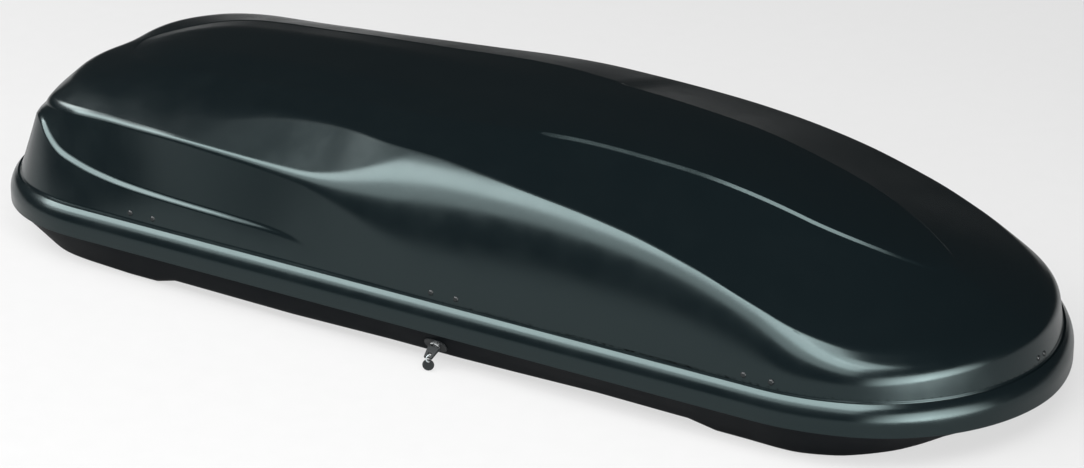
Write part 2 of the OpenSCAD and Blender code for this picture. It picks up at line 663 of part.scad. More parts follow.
// How deep a head's rim bites into the wall, which leans by a share of its height
head_bite = 0.7;
nose_head_sink = 2.9;
function lid_wall_lean(x) = (curve(edge_in, x) - curve(ledge_in, x)) / curve(edge_z, x);
function wall_rivet_y(x) = half_w - lid_wall_lean(x) * rivet_up - head_bite;
nose_rivet_y = 10;
module rivet(grip) {
    rotate_extrude() polygon(concat(
        [[0, -grip], [washer_r, -grip], [washer_r, washer_t - grip], [shank_r, washer_t - grip],
         [shank_r, 0], [head_r, 0]],
        [for (a = [15 : 15 : 90]) [head_r * cos(a), head_h * sin(a)]]));
}
nose_rivet_x = half_l - nose_head_sink;
nose_rivet_up = 10;
nose_rivet_z = foot_z - curve(nose_dip, half_l) + nose_rivet_up;
nose_tongue_x = half_l - 15;
washer_bite = 0.2;
nose_rivet_grip = nose_rivet_x - nose_tongue_x + washer_t - washer_bite;
leaf_rivet_r = 3.5;
leaf_rivet_h = 1.6;
leaf_rivet_in = 9;
module leaf_rivet() {
    rotate_extrude() polygon(concat(
        [[0, 0], [leaf_rivet_r, 0]],
        [for (a = [18 : 18 : 90]) [leaf_rivet_r * cos(a), leaf_rivet_h * sin(a)]]));
}
module lid_rivets() {
    color(nylon_black) {
        for (x = striker_x, s = [-1, 1])
            translate([x + s * rivet_pitch / 2, -wall_rivet_y(x), foot_z + rivet_up])
            rotate([90, 0, 0]) rivet(wall_rivet_y(x) + striker_y + striker_t + washer_t);
        for (s = [-1, 1]) translate([nose_rivet_x, s * nose_rivet_y, nose_rivet_z])
            rotate([0, 90, 0]) rivet(nose_rivet_grip);
        for (x = hinge_x, s = [-1, 1])
            translate([x + s * hinge_l / 3, half_w + rim_out + leaf_t, lid_leaf_z[1] - leaf_rivet_in])
            rotate([-90, 0, 0]) leaf_rivet();
    }
}
module base_rivets() {
    color(nylon_black)
    for (x = hinge_x, s = [-1, 1])
        at_left_wall(x) translate([s * hinge_l / 3, leaf_end - leaf_rivet_in, leaf_t]) leaf_rivet();
}

// Hinges on the left: leaves on the base wall and on the lid's rim, with a pin through their knuckles
hinge_x = [-540, 0, 540];
hinge_y = half_w + rim_out - 2;
hinge_z = rim_z - 8;
leaf_t = 2;
leaf_end = 38;
leaf_clear = 9.5;
lid_leaf_z = [rim_z - 1.5, rim_z + 28];
knuckle_gap = 1;
knuckle_l = (hinge_l - 2 * knuckle_gap) / 3;
pin_head_l = 2;
// Where the hinge axis lies in the left wall's own frame at x
function axis_out(x) =
    (hinge_y - half_w - sill_out) * sin(wall_lean(x)) - (hinge_z - sill_z) * cos(wall_lean(x));
function axis_down(x) =
    -(hinge_y - half_w - sill_out) * cos(wall_lean(x)) - (hinge_z - sill_z) * sin(wall_lean(x));
module along_hinge(x0, l, r) {
    translate([x0, hinge_y, hinge_z]) rotate([0, 90, 0]) cylinder(r = r, h = l);
}
// The arm from a base leaf up to the hinge axis, in the left wall's own frame, a little thinner than the
// leaf and narrower than the knuckle
arm_w = 4.5;
arm_trim = 0.2;
arm_side = 0.5;
module hinge_arm(x) {
    rotate([90, 0, 90]) linear_extrude(knuckle_l - 2 * arm_side) polygon([
        [axis_down(x), arm_trim], [leaf_clear + over, arm_trim], [leaf_clear + over, leaf_t - arm_trim],
        [axis_down(x) + arm_w, leaf_t - arm_trim], [axis_down(x) + arm_w, axis_out(x)],
        [axis_down(x), axis_out(x)]]);
}
module base_hinge_leaves() {
    color(zinc_steel)
    for (x = hinge_x) difference() {
        union() {
            at_left_wall(x) translate([-hinge_l / 2, leaf_clear, 0])
                cube([hinge_l, leaf_end - leaf_clear, leaf_t]);
            for (x0 = [-hinge_l / 2, hinge_l / 2 - knuckle_l]) {
                at_left_wall(x) translate([x0 + arm_side, 0, 0]) hinge_arm(x);
                along_hinge(x + x0, knuckle_l, knuckle_r);
            }
        }
        along_hinge(x - hinge_l / 2 - over, hinge_l + 2 * over, hinge_pin_r + fit_play);
    }
}
module lid_hinge_leaves() {
    y = half_w + rim_out;
    color(zinc_steel)
    for (x = hinge_x) difference() {
        union() {
            translate([x - hinge_l / 2, y, lid_leaf_z[0]])
                cube([hinge_l, leaf_t, lid_leaf_z[1] - lid_leaf_z[0]]);
            translate([x - knuckle_l / 2, y, hinge_z])
                cube([knuckle_l, leaf_t, lid_leaf_z[0] - hinge_z + over]);
            along_hinge(x - knuckle_l / 2, knuckle_l, knuckle_r);
        }
        along_hinge(x - hinge_l / 2 - over, hinge_l + 2 * over, hinge_pin_r + fit_play);
    }
}
module hinge_pins() {
    color(zinc_steel)
    for (x = hinge_x) {
        along_hinge(x - hinge_l / 2 - over, hinge_l + 2 * over, hinge_pin_r);
        for (s = [-1, 1])
            along_hinge(x + s * (hinge_l + pin_head_l) / 2 - pin_head_l / 2, pin_head_l, hinge_pin_r + 1);
    }
}

// Nose centring: a tongue on the lid drops between two cheeks on the base
nose_tongue_t = 3;
nose_tongue_half = 18;
nose_tongue_z = [sill_z + 5, foot_z + 19];
cheek_gap = 5;
cheek_t = 6;
cheek_l = 8;
cheek_z = [sill_z - 3, sill_z + 24];
guide_back_t = 4;
guide_bite = 0.5;
module nose_tongue() {
    color(nylon_black)
    translate([nose_tongue_x, -nose_tongue_half, nose_tongue_z[0]])
        cube([nose_tongue_t, 2 * nose_tongue_half, nose_tongue_z[1] - nose_tongue_z[0]]);
}
module nose_guide() {
    half = nose_tongue_half + cheek_gap;
    back = half_l + upstand_in + guide_bite - guide_back_t;
    color(nylon_black) {
        translate([back, -half - cheek_t, cheek_z[0]])
            cube([guide_back_t, 2 * (half + cheek_t), cheek_z[1] - cheek_z[0]]);
        for (s = [-1, 1]) translate([nose_tongue_x - cheek_l, s > 0 ? half : -half - cheek_t, cheek_z[0]])
            cube([back - nose_tongue_x + cheek_l + over, cheek_t, cheek_z[1] - cheek_z[0]]);
    }
}

// Lid shell, and the rails and ribs that stiffen it
module lid_shell() {
    color(abs_black)
    rib_shell(lid_ribs, [for (q = lid_ribs) lid_outer(q)], [for (q = lid_ribs) lid_inner(q)], false);
}
rail_t = 2;
rail_half_w = 3.5;
rail_y = [half_w - rail_half_w, half_w + rail_half_w];
rail_half_l = 640;
module lid_edge_rails() {
    color(alloy)
    for (s = [-1, 1]) translate([-rail_half_l, s > 0 ? rail_y[0] : -rail_y[1], flange_z - rail_t])
        cube([2 * rail_half_l, rail_y[1] - rail_y[0], rail_t]);
}
cross_rib_x = [-330, 180];
cross_rib_w = 36;
cross_rib_h = 9;
cross_rib_taper = 6;
cross_rib_reach = 190;
cross_rib_steps = 10;
bond_gap = 1;
function rib_top(x, s, y) = under_z(x + s * cross_rib_w / 2, abs(y)) - bond_gap;
// A rib glued under the lid across the box: two sections joined into one block
module cross_rib(x) {
    ys = [for (i = [-cross_rib_steps : cross_rib_steps]) cross_rib_reach * i / cross_rib_steps];
    n = len(ys);
    points = [for (s = [-1, 1]) each concat(
        [for (y = ys) [x + s * cross_rib_w / 2, y, rib_top(x, s, y)]],
        [for (y = ys) [x + s * (cross_rib_w / 2 - cross_rib_taper), y, rib_top(x, s, y) - cross_rib_h]])];
    quads = [for (i = [0 : n - 2]) each [
        [i, i + 1, 2 * n + i + 1, 2 * n + i], [n + i, 3 * n + i, 3 * n + i + 1, n + i + 1],
        [i, n + i, n + i + 1, i + 1], [2 * n + i, 2 * n + i + 1, 3 * n + i + 1, 3 * n + i]]];
    ends = [[0, 2 * n, 3 * n, n], [n - 1, 2 * n - 1, 4 * n - 1, 3 * n - 1]];
    triangles = [for (f = concat(quads, ends)) each [[f[0], f[1], f[2]], [f[0], f[2], f[3]]]];
    polyhedron(points, triangles, convexity = 4);
}
module lid_cross_ribs() {
    color(abs_black)
    for (x = cross_rib_x) cross_rib(x);
}

// Struts: a cylinder that swings on the base and a rod that slides in it, ending at the lid in a wide eye.
// Pivots on the base and the lid are [y, z]; the strut's lean and length hold the wide eye round the
// lid's pin over the whole travel of the lid.
strut_foot = [265, 45];
strut_head = [210, 260];
strut_angle = 103.34;
strut_len = 223.2;
strut_pin_r = 3;
eye_t = 6;
foot_eye_r = 8;
head_eye_r = 12;
head_eye_bore = 7.7;
cylinder_z = [12, 160];
neck_half = 6;
neck_start = foot_eye_r - 3;
rod_bore_z = 30;
rod_start = 44;
lug_t = 5;
lug_gap = 1;
lug_half = 14;
lug_tip = 6;
lug_foot_h = 6;
lug_neck = [7, 8];
lug_bond = 1.5;
pin_head = [2, 2];
function strut_floor_z(x) = abs(x) <= step_from ? recess_top_z : shell_t;
module at_strut(x) {
    translate([x, strut_foot[0], strut_foot[1]]) rotate([strut_angle - 90, 0, 0]) children();
}
module eye(r, bore) {
    rotate([0, 90, 0]) difference() {
        translate([0, 0, -eye_t / 2]) cylinder(r = r, h = eye_t);
        translate([0, 0, -eye_t]) cylinder(r = bore, h = 2 * eye_t);
    }
}
module strut_cylinder(x) {
    color(nylon_black)
    at_strut(x) {
        eye(foot_eye_r, strut_pin_r + fit_play);
        translate([-eye_t / 2, -neck_half, neck_start])
            cube([eye_t, 2 * neck_half, cylinder_z[0] + over - neck_start]);
        difference() {
            translate([0, 0, cylinder_z[0]]) cylinder(r = strut_r, h = cylinder_z[1] - cylinder_z[0]);
            translate([0, 0, rod_bore_z]) cylinder(r = rod_r + fit_play, h = cylinder_z[1]);
        }
    }
}
module strut_rod(x) {
    color(chrome)
    at_strut(x) {
        difference() {
            translate([0, 0, rod_start])
                cylinder(r = rod_r, h = strut_len - rod_start - head_eye_bore - over);
            translate([-eye_t, 0, strut_len]) rotate([0, 90, 0]) cylinder(r = head_eye_bore, h = 2 * eye_t);
        }
        translate([0, 0, strut_len]) eye(head_eye_r, head_eye_bore);
    }
}
// A lug beside a strut's eye with its pin, as a plate with the outline given in the Y-Z plane
module strut_lug(x, pivot, outline) {
    side = eye_t / 2 + lug_gap;
    translate([x - side - lug_t, 0, 0]) rotate([90, 0, 90]) linear_extrude(lug_t) polygon(outline);
    translate([x - side - over, pivot[0], pivot[1]]) rotate([0, 90, 0])
        cylinder(r = strut_pin_r, h = 2 * side + over);
    translate([x + side, pivot[0], pivot[1]]) rotate([0, 90, 0])
        cylinder(r = strut_pin_r + pin_head[0], h = pin_head[1]);
}
module strut_base_brackets() {
    color(zinc_steel)
    for (x = [rear_strut_x, front_strut_x]) {
        z = strut_floor_z(x);
        y = strut_foot[0];
        top = strut_foot[1] + lug_tip;
        strut_lug(x, strut_foot, [
            [y - lug_half, z], [y + lug_half, z], [y + lug_half, z + lug_foot_h], [y + lug_tip, top],
            [y - lug_tip, top], [y - lug_half, z + lug_foot_h]]);
    }
}
module strut_lid_brackets() {
    color(zinc_steel)
    for (x = [rear_strut_x, front_strut_x]) {
        y = strut_head[0];
        z = strut_head[1];
        strut_lug(x, strut_head, [
            [y - lug_neck[0], z - lug_neck[1]], [y + lug_neck[0], z - lug_neck[1]],
            [y + lug_half, z + lug_neck[1]], [y + lug_half, under_z(x, y + lug_half) + lug_bond],
            [y - lug_half, under_z(x, y - lug_half) + lug_bond], [y - lug_half, z + lug_neck[1]]]);
    }
}

base_shell();
floor_slot_plates();
clamp_housings();
lock_escutcheon();
lock_barrel();
lock_nut();
bar_guides();
base_hinge_leaves();
hinge_pins();
nose_guide();
base_rivets();
strut_base_brackets();
lid_shell();
lid_edge_rails();
lid_cross_ribs();
strikers();
lid_hinge_leaves();
nose_tongue();
lid_rivets();
strut_lid_brackets();
lock_plug();
lock_cam();
key_blade();
key_bow();
key_link();
key_tag();
lock_bar();
strut_cylinder(rear_strut_x);  // rear_strut_cylinder
strut_rod(rear_strut_x);  // rear_strut_rod
strut_cylinder(front_strut_x);  // front_strut_cylinder
strut_rod(front_strut_x);  // front_strut_rod
clamp_knob(1, 1);  // clamp_knob_front_left
clamp_knob(1, -1);  // clamp_knob_front_right
clamp_knob(-1, 1);  // clamp_knob_rear_left
clamp_knob(-1, -1);  // clamp_knob_rear_right
clamp_hook(1, 1);  // clamp_hook_front_left
clamp_hook(1, -1);  // clamp_hook_front_right
clamp_hook(-1, 1);  // clamp_hook_rear_left
clamp_hook(-1, -1);  // clamp_hook_rear_right
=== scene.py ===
# %% [markdown]
# # A roof cargo box
# The box is a long black shell in two halves: a low base that is clamped to two roof bars, and a
# wedge-nosed lid that opens to one side. The solids with their joints come from CAD. This lesson loads
# them as a fixed frame, gives the two big shells a finer skin, adds the rubber seal that the solids leave
# out, and then makes the finishes, the floor, the light and the camera. Blender works in metres here,
# while the sizes and lists of the shells are written in millimetres and divided by 1000 when a mesh is
# made.

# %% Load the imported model
import json
import math

import bmesh
import bpy
from mathutils import Matrix, Vector


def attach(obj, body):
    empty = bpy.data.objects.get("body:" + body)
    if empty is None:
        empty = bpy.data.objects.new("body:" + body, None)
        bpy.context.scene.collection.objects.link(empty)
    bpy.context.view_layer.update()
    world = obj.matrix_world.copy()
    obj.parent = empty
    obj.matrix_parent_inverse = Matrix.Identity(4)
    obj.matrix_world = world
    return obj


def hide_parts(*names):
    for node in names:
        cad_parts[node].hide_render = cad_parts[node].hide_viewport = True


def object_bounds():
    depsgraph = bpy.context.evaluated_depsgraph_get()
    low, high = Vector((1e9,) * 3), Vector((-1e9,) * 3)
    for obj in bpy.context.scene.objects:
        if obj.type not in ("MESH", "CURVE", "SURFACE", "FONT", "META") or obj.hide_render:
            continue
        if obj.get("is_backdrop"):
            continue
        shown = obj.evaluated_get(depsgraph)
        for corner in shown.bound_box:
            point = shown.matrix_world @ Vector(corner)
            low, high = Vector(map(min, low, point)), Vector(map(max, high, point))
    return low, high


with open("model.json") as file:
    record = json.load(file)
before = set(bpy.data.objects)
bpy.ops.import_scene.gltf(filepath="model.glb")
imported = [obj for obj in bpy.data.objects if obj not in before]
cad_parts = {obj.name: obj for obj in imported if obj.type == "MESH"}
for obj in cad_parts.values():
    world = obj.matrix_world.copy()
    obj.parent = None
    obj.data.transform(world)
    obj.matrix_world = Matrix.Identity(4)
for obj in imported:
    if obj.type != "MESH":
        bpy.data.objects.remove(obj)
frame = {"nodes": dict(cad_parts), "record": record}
cad_box = [list(corner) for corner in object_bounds()]
nodes = frame["nodes"]
print("solids:", len(nodes), "box:", [[round(v, 3) for v in corner] for corner in cad_box])

# %% [markdown]
# ## The stations of the two shells
# A thermoformed shell has no flat face to start from: it is a skin that was sucked over a carved mould.
# It could be sculpted or cut from a subdivided box, but a long shape with slow curves is easier to steer
# as a boat builder does, with ribs that stand on the outline of the box. Lists say how high and how far
# in each bend of a rib lies at a place along the box. The CAD solid uses the same lists with few ribs.
# Here they are sampled finely, so that highlights run without corners.

# %% Sizes and stations, in millimetres
FOOT_L, FOOT_W, TAIL_RUN, NOSE_RUN, FOOT_Z = 1900, 672, 265, 315, 115
SHELL_T, RIM_OUT, RIM_DROP, RECESS_H, BASE_IN = 4, 19, 50, 14, 24
HALF_L, HALF_W = FOOT_L / 2, FOOT_W / 2
TAIL_X, NOSE_X = HALF_L - TAIL_RUN, HALF_L - NOSE_RUN
TAIL_POWERS, NOSE_POWERS = (0.88, 0.72), (0.93, 1.06)
SPINE_SHARE, SPINE_TAIL, SPINE_NOSE = 0.9, 720, 770
STEP_FROM, STEP_TO = 500, 545

STATIONS = {
    "edge_in": [(-950, 72), (-900, 62), (-840, 50), (-760, 50), (-685, 47), (-600, 39), (-480, 27),
                (-300, 29), (-200, 24), (-100, 18), (0, 13), (100, 10), (200, 9), (300, 8), (400, 8),
                (500, 7), (600, 6), (700, 5), (800, 6), (950, 9)],
    "edge_z": [(-950, 132), (-900, 131), (-840, 145), (-760, 151), (-685, 154), (-600, 155),
               (-480, 157), (-290, 146), (-200, 145), (-100, 150), (0, 153), (100, 150), (200, 146),
               (300, 139), (400, 128), (500, 110), (600, 84), (700, 55), (800, 41), (950, 40)],
    "edge_soft": [(-950, 14), (-840, 12), (-700, 10), (-450, 9), (-250, 14), (-180, 30), (-100, 65),
                  (0, 110), (100, 130), (200, 132), (300, 128), (400, 118), (500, 100), (600, 72),
                  (700, 38), (800, 22), (950, 14)],
    "crease_in": [(-950, 120), (-840, 118), (-685, 112), (-500, 106), (-400, 112), (-300, 112),
                  (-200, 105), (-100, 86), (0, 77), (200, 58), (400, 46), (500, 39), (600, 34),
                  (700, 36), (800, 38), (950, 35)],
    "crease_z": [(-950, 174), (-840, 176), (-685, 181), (-500, 191), (-400, 201), (-300, 208),
                 (-200, 212), (-100, 212), (0, 212), (100, 206), (200, 198), (300, 188), (400, 173),
                 (500, 150), (600, 119), (700, 87), (800, 66), (950, 53)],
    "crease_soft": [(-950, 18), (-700, 40), (-450, 30), (-300, 12), (-150, 4), (700, 4), (800, 8),
                    (950, 10)],
    "ridge_share": [(-950, 0.66), (-700, 0.6), (-300, 0.58), (-100, 0.55), (0, 0.57), (100, 0.61),
                    (200, 0.645), (400, 0.68), (600, 0.72), (800, 0.75), (950, 0.75)],
    "ridge_soft": [(-950, 14), (-700, 40), (-300, 40), (-100, 24), (50, 8), (200, 5), (600, 5),
                   (750, 10), (950, 14)],
    "ridge_z": [(-800, 181), (-700, 197), (-600, 207), (-500, 213), (-400, 220), (-300, 225),
                (-200, 229), (-100, 233), (0, 237), (100, 238), (200, 237), (300, 231), (400, 221),
                (500, 202), (600, 176), (700, 145), (800, 106), (860, 82)],
    "spine_z": [(-800, 183), (-720, 202), (-600, 217), (-500, 225), (-400, 231), (-300, 235),
                (-200, 237), (-100, 239), (0, 241), (100, 242), (200, 240), (300, 234), (400, 224),
                (500, 205), (600, 179), (700, 147), (800, 108), (860, 84)],
    "ledge_z": [(-950, 86), (-900, 102), (-855, 117), (-828, 116), (-800, 99), (-763, 81), (-720, 71),
                (-670, 62), (-600, 55), (-480, 51), (-380, 48), (-260, 42), (-160, 22), (-60, 7),
                (950, 5)],
    "ledge_in": [(-920, 0), (-840, 4), (-700, 5), (-500, 5), (-380, 4), (-220, 0)],
    "ledge_out": [(-950, 9), (-900, 9), (-850, 8), (-790, 4), (-740, 1), (-700, 0)],
    "nose_dip": [(700, 0), (750, 1), (800, 3), (850, 5.3), (900, 8.2), (950, 11.4)],
}
# Where the base wall would reach the ground; straight between its stations
GROUND_IN = [(-950, 61), (-850, 24), (-760, 9), (-690, 4), (-600, -3), (-480, -3), (-250, -8), (-60, 0),
             (80, 0), (180, 4), (330, 12), (480, 9), (600, 9), (690, 6), (760, 13), (840, 32),
             (900, 53), (950, 80)]
print("stations:", sum(len(t) for t in STATIONS.values()), "in", len(STATIONS), "lists")

# %% [markdown]
# ## Reading a station list
# Straight lines between stations would show as kinks in the highlight. A cubic through the stations, with
# the slope at each one taken from its two neighbours, passes through every value and bends smoothly.


# %% A smooth curve through stations, and ribs round the outline
def station(name, x):
    """Value at x of the smooth curve through a station list."""
    t = STATIONS[name]
    if x <= t[0][0] or x >= t[-1][0]:
        return t[0][1] if x <= t[0][0] else t[-1][1]
    i = max(k for k in range(len(t) - 1) if t[k][0] <= x)
    slope = [(t[min(k + 1, len(t) - 1)][1] - t[max(k - 1, 0)][1])
             / (t[min(k + 1, len(t) - 1)][0] - t[max(k - 1, 0)][0]) for k in (i, i + 1)]
    h = t[i + 1][0] - t[i][0]
    s, a, b, rise = (x - t[i][0]) / h, slope[0] * h, slope[1] * h, t[i + 1][1] - t[i][1]
    return t[i][1] + s * a + s * s * (3 * rise - 2 * a - b) + s ** 3 * (a + b - 2 * rise)


def ground_in(x):
    """Inset of the base wall at ground level, straight between stations."""
    for (x0, v0), (x1, v1) in zip(GROUND_IN, GROUND_IN[1:]):
        if x <= x1:
            return BASE_IN + v0 + (v1 - v0) * max(x - x0, 0) / (x1 - x0)
    return BASE_IN + GROUND_IN[-1][1]


def end_rib(angle, way, x0, powers, spine):
    """A rib of the rounded tail (way -1) or nose (way 1).

    It holds the foot point, the outward normal and the x where the rib meets the spine.
    """
    run, s, c = HALF_L - x0, math.sin(angle), max(math.cos(angle), 0)
    nx, ny = s ** (2 - powers[0]) / (powers[0] * run), c ** (2 - powers[1]) / (powers[1] * HALF_W)
    n = math.hypot(nx, ny)
    meet = spine[0] + (spine[1] - spine[0]) * angle / (math.pi / 2)
    return (way * (x0 + run * s ** powers[0]), -HALF_W * c ** powers[1], way * nx / n, -ny / n, way * meet)


def half_ribs(side_x, share, tail_spine, nose_spine, ends=36):
    """Ribs of the right half from the tail's middle along the side to the nose's middle."""
    quarter = [math.pi / 2 * i / ends for i in range(1, ends + 1)]
    tail = [end_rib(a, -1, TAIL_X, TAIL_POWERS, (TAIL_X * share, tail_spine)) for a in reversed(quarter)]
    side = [(x, -HALF_W, 0, -1, x * share) for x in side_x]
    nose = [end_rib(a, 1, NOSE_X, NOSE_POWERS, (NOSE_X * share, nose_spine)) for a in quarter]
    return tail + side + nose


def rib_length(rib):
    """Length of a rib in plan, from its foot to the spine."""
    return math.hypot(rib[4] - rib[0], rib[1])


def rib_point(rib, inset, z):
    """Point of a rib at an inset from the foot line; a negative inset lies outside it."""
    if inset < 0:
        return (rib[0] - rib[2] * inset, rib[1] - rib[3] * inset, z)
    share = inset / rib_length(rib)
    return (rib[0] + (rib[4] - rib[0]) * share, rib[1] * (1 - share), z)


LID_SIDE = 96
lid_ribs = half_ribs([-TAIL_X + (NOSE_X + TAIL_X) * i / LID_SIDE for i in range(LID_SIDE + 1)],
                     SPINE_SHARE, SPINE_TAIL, SPINE_NOSE)
print("lid ribs on one half:", len(lid_ribs))

# %% [markdown]
# ## The bends of a lid rib
# Going up a rib there are the foot of the wall, the edge where the wall ends, the crease above the bright
# band, the raised panel's edge and the spine. A bevel modifier would round every bend alike, so each bend
# is instead replaced by a short parabola whose length is a station list too. The same bend can then be
# crisp at the tail and soft amidships, where the parabola takes up nearly the whole wall and the band is
# one continuous curve.


# %% Rounded bends of a lid rib
# The largest share of a side that a rounding may take
HALF, NEARLY_ALL = 0.48, 0.94
# How much of the crown's half width is rounded
CROWN_SHARE = 0.35


def rounded(a, b, c, reach, steps, most=HALF):
    """The corner b between a and c, replaced by a parabola that starts at most reach before it."""
    shares = [i / steps for i in range(steps + 1)]
    a, b, c = Vector(a), Vector(b), Vector(c)
    p = b + (a - b) * min(reach / (a - b).length, most)
    q = b + (c - b) * min(reach / (c - b).length, most)
    return [tuple(p * (1 - t) ** 2 + b * (2 * t * (1 - t)) + q * t * t) for t in shares]


def inside(a, b, c, t):
    """The corner b of the path a, b, c moved to the wall's inner side by t."""
    n, m = [Vector((q[1] - p[1], p[0] - q[0])).normalized() for p, q in ((a, b), (b, c))]
    return tuple(Vector(b) + (n + m) * (t / (1 + n.dot(m))))


def lid_bends(rib):
    """Foot, edge, crease, ridge, crown and spine of a rib as (inset, height)."""
    x, length = rib[0], rib_length(rib)
    ridge = station("ridge_share", x) * length
    crown = (ridge + length) / 2
    return [(station("ledge_in", x), FOOT_Z - station("nose_dip", x)),
            (station("edge_in", x), FOOT_Z + station("edge_z", x)),
            (station("crease_in", x), FOOT_Z + station("crease_z", x)),
            (ridge, FOOT_Z + station("ridge_z", rib_point(rib, ridge, 0)[0])),
            (crown, FOOT_Z + station("spine_z", rib_point(rib, crown, 0)[0])),
            (length, FOOT_Z + station("spine_z", rib[4]))]


def bend_softness(rib):
    """How far each bend of lid_bends is rounded."""
    crown = CROWN_SHARE * (1 - station("ridge_share", rib[0])) * rib_length(rib) / 2
    return [0] + [station(n, rib[0]) for n in ("edge_soft", "crease_soft", "ridge_soft")] + [crown]


middle_rib = lid_ribs[len(lid_ribs) // 2]
print("bends of the middle rib:", [tuple(round(v) for v in bend) for bend in lid_bends(middle_rib)])

# %% [markdown]
# ## The rim, the ledge and the panel's step
# Below the wall hangs a rolled rim with a small bead above it. The wall itself has a swept ledge that
# fades out amidships, and a low step runs along the raised panel's edge. The bead and the step are too
# fine for the solid, so they are added here, as a few more points on the path. The inner path follows the
# outer one at the sheet's thickness, without the bead, the ledge and the step.

# %% The outer and inner path of a lid rib
RIM_Z, BEAD_MM, LEDGE_HALF, LEDGE_SOFT = FOOT_Z - RIM_DROP, 2, 3, 3
# How many times as much as the foot the rim's lip dips towards the nose
LIP_DIP = 1.4
# Points of the rim as (outside the foot line, below its top), on its outer and on its inner face
SHOULDER = [(5, 0), (12.6, 8.4), (19, 24)]
RIM_CORNER = [(15, 19), (11.6, 7.5), (6, 0)]
LIP_SOFT, KNEE_SOFT = 9, 7
# The bead as (inset, height over the rim's top), and its toe over the foot
BEAD, BEAD_TOE = [(-2.5, -1.2), (-1.8, -1.2), (-1.4, 0.8)], (0.2, 0.6)
# Height of a point that keeps the bead from bending the shading of the whole wall
WALL_START = 4
# The step at the panel's edge: height, width, and where it rises and fades along the box
RIDGE_STEP, RIDGE_RUN, TOE_DROP, RIDGE_SPAN = 5.0, 5.0, 0.2, (90, 140, 700, 880)


def ramp(x, start, end):
    """0 before start, 1 after end, and a smooth rise between them."""
    s = min(max((x - start) / (end - start), 0), 1)
    return s * s * (3 - 2 * s)


def lid_outer(rib):
    """Path up the outside of the lid, from the rim's lip to the spine."""
    bends, soft, dip = lid_bends(rib), bend_softness(rib), station("nose_dip", rib[0])
    step, foot = bends[0]
    top = FOOT_Z - BEAD_MM - dip
    lean = (bends[1][0] - step) / (bends[1][1] - foot)
    rise = station("ledge_z", rib[0])
    low_lip = (-RIM_OUT, RIM_Z - LIP_DIP * dip)
    start, knee, end = [(-out, top - down) for out, down in SHOULDER]
    path = [low_lip] + rounded(low_lip, end, knee, LIP_SOFT, 6)
    path += rounded(end, knee, start, KNEE_SOFT, 8) + [start]
    path += [(inset, top + up) for inset, up in BEAD]
    path += [(BEAD_TOE[0], foot + BEAD_TOE[1]), (lean * WALL_START, foot + WALL_START)]
    bulge = station("ledge_out", rib[0])
    low = (lean * (rise - LEDGE_HALF) - bulge, foot + rise - LEDGE_HALF)
    high = (step + lean * (rise + LEDGE_HALF) - bulge, foot + rise + LEDGE_HALF)
    path += rounded((0, foot), low, high, LEDGE_SOFT, 3) + rounded(low, high, bends[1], LEDGE_SOFT, 3)
    ridge = bends[3]
    step_x = rib_point(rib, ridge[0], 0)[0]
    drop = RIDGE_STEP * (ramp(step_x, *RIDGE_SPAN[:2]) - ramp(step_x, *RIDGE_SPAN[2:]))
    toe = (ridge[0] - RIDGE_RUN, ridge[1] - drop - TOE_DROP)
    path += rounded(bends[0], bends[1], bends[2], soft[1], 18, NEARLY_ALL)
    path += rounded(bends[1], bends[2], toe, soft[2], 8)
    path += rounded(bends[2], toe, ridge, RIDGE_RUN / 6, 3)
    path += rounded(toe, ridge, bends[4], RIDGE_RUN / 4, 4)
    return path + rounded(ridge, bends[4], bends[5], soft[4], 5) + [bends[5]]


def lid_inner(rib):
    """Path up the inside of the lid, one sheet's thickness in."""
    bends, soft, dip = lid_bends(rib), bend_softness(rib), station("nose_dip", rib[0])
    flange = FOOT_Z - BEAD_MM - SHELL_T - dip
    inner = [(SHELL_T + bends[0][0] / 2, flange)]
    inner += [inside(bends[i - 1], bends[i], bends[i + 1], SHELL_T) for i in range(1, 5)]
    inner += [(bends[5][0], bends[5][1] - SHELL_T)]
    low_lip = (-RIM_CORNER[0][0], RIM_Z - LIP_DIP * dip)
    path = [low_lip] + [(-out, flange - down) for out, down in RIM_CORNER] + [inner[0]]
    for i, steps, most in ((1, 9, NEARLY_ALL), (2, 4, HALF), (3, 3, HALF), (4, 3, HALF)):
        path += rounded(inner[i - 1], inner[i], inner[i + 1], soft[i], steps, most)
    return path + [inner[5]]


rib_points = [len(path(lid_ribs[0])) for path in (lid_outer, lid_inner)]
print("points on a lid rib:", rib_points[0], "outside,", rib_points[1], "inside")

# %% [markdown]
# ## From ribs to a closed skin
# Each rib and its mirror image become a ring of points: up the outside, down the inside. Neighbouring
# rings are joined by quads. On the spine the two halves share their points, so the skin is welded there.
# Faces are shaded smooth, and only edges that bend by more than a set angle stay sharp, such as the rim's
# lower lip.


# %% The skin builder, and the lid
# Points nearer than this, in metres, become one
WELD_DIST = 2e-5
LID_SHARP_DEG = 50


def skin(name, ribs, outer, inner, sharp_deg):
    """A closed shell object through ribs and their mirror images, in metres."""
    half = [[rib_point(rib, d, z) for d, z in outer(rib) + inner(rib)[::-1]] for rib in ribs]
    rings = half + [[(x, -y, z) for x, y, z in ring] for ring in half[-2:0:-1]]
    spine = len(outer(ribs[0])) - 1
    n, m = len(rings), len(rings[0])
    faces = [(k * m + j, k * m + (j + 1) % m, (k + 1) % n * m + (j + 1) % m, (k + 1) % n * m + j)
             for k in range(n) for j in range(m) if j != spine]
    mesh = bpy.data.meshes.new(name)
    mesh.from_pydata([tuple(v / 1000 for v in p) for ring in rings for p in ring], [], faces)
    bm = bmesh.new()
    bm.from_mesh(mesh)
    bmesh.ops.remove_doubles(bm, verts=bm.verts, dist=WELD_DIST)
    bmesh.ops.recalc_face_normals(bm, faces=bm.faces)
    smooth_by_angle(bm, sharp_deg)
    bm.to_mesh(mesh)
    bm.free()
    obj = bpy.data.objects.new(name, mesh)
    bpy.context.scene.collection.objects.link(obj)
    return obj


